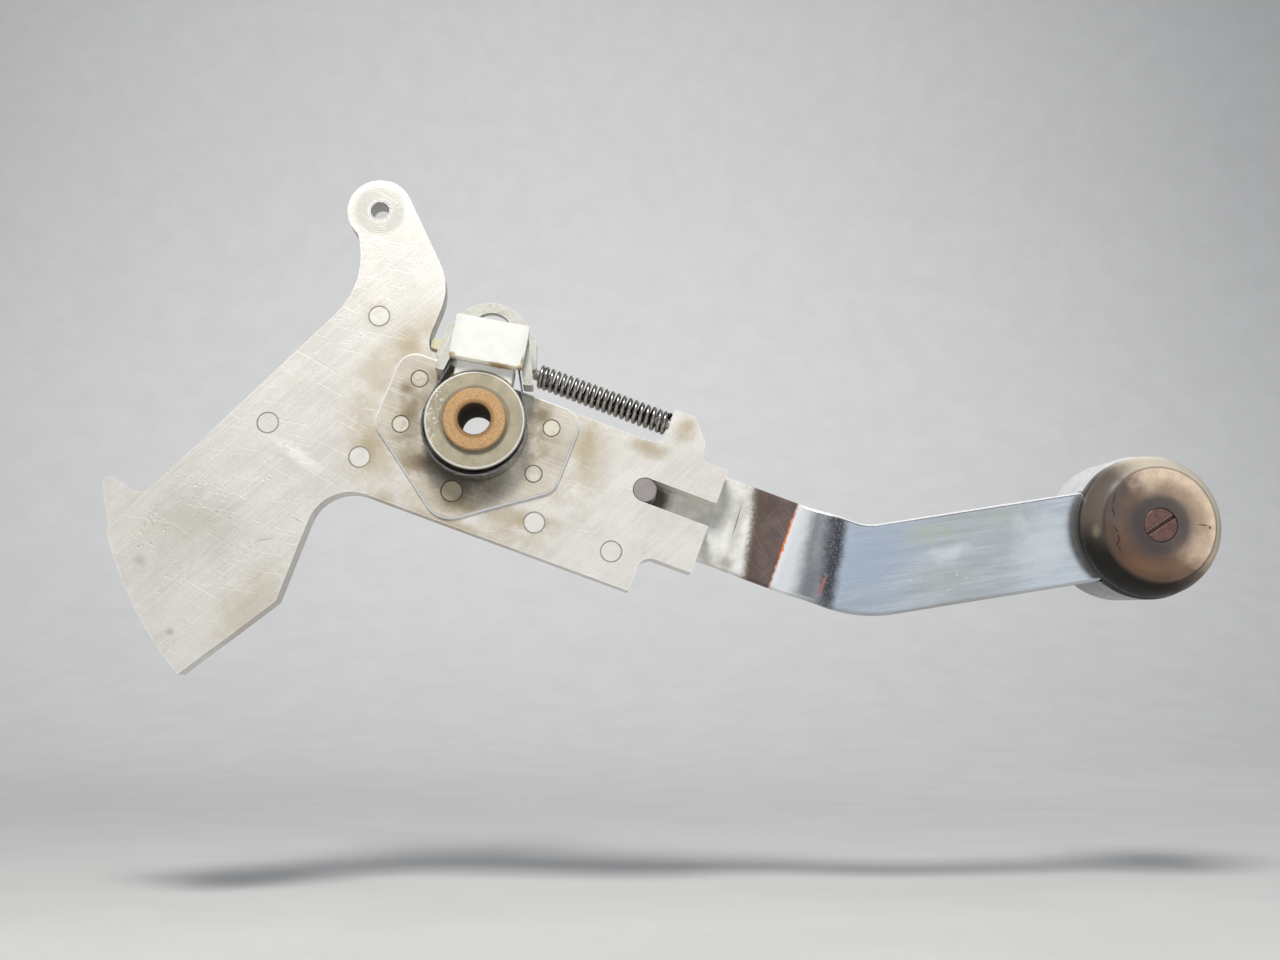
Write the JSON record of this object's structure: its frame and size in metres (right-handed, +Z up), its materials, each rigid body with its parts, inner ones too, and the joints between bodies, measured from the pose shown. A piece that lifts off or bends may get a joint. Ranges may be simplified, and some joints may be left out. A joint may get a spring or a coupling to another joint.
{
  "type": "power lever",
  "caption": "Control quadrant power lever: riveted plates with pivot bush, sprung brake yoke and a cranked sliding arm with round knob.",
  "frame": {"origin": "on the axis of the pivot bore, in the joint plane of the two lever plates", "axes": "+X right towards the knob, +Z up towards the cable eye, +Y along the pivot axis, away from the knob's face"},
  "size_m": [0.2857, 0.0356, 0.1285],
  "materials": {
    "plate": "worn matt cadmium-grey plate with fine scratches",
    "rivet": "flush rivet, ground with the plate",
    "hub_plate": "satin steel with oily stains",
    "bronze": "sintered bronze",
    "bush_steel": "plain steel",
    "spring_steel": "dark oiled spring wire",
    "arm_chrome": "chrome plate, worn through near the plates",
    "pin_steel": "turned steel",
    "knob_brown": "aged plastic, rubbed brown",
    "knob_white": "smooth pale plastic",
    "screw": "tarnished slotted screw",
    "yoke_metal": "worn cast metal",
    "nylon": "milky nylon",
    "strap_steel": "thin spring steel",
    "bumper": "yellowed nylon"
  },
  "bodies": {
    "lever": {"front_plate": "plate", "rear_plate": "plate", "guide_rail": "plate", "keeper_plate": "plate", "plate_rivets": "rivet", "rail_rivets": "rivet", "hub_long_rivet": "rivet", "hub_rivets": "rivet", "hub_plate": "hub_plate", "hub_drum": "hub_plate", "pivot_bush": "bronze", "cable_bush": "bush_steel", "spring_peg": "bush_steel", "return_post": "bush_steel", "return_spring": "spring_steel", "yoke_spring": "spring_steel"},
    "handle": {"arm_bar": "arm_chrome", "guide_pin": "pin_steel", "spring_plug": "bush_steel", "knob_front": "knob_brown", "knob_rear": "knob_white", "knob_screw": "screw", "knob_insert": "bronze"},
    "brake_yoke": {"yoke": "yoke_metal", "brake_shoe": "nylon", "shoe_retainer": "spring_steel", "brake_strap": "strap_steel", "yoke_bumper": "bumper"}
  },
  "joints": [
    {"name": "arm_slide", "type": "slide", "parent": "lever", "child": "handle", "axis": [0.9361, 0, -0.3518], "range_m": [0, 0.008], "stiffness_N_per_m": 500, "springref_m": -0.01, "deforming": ["return_spring"]},
    {"name": "yoke_pivot", "type": "hinge", "parent": "lever", "child": "brake_yoke", "pos_m": [0, 0, 0], "axis": [0, 1, 0], "range_deg": [0, 8], "stiffness_Nm_per_rad": 1.6, "springref_deg": -17.19, "deforming": ["yoke_spring"]}
  ]
}
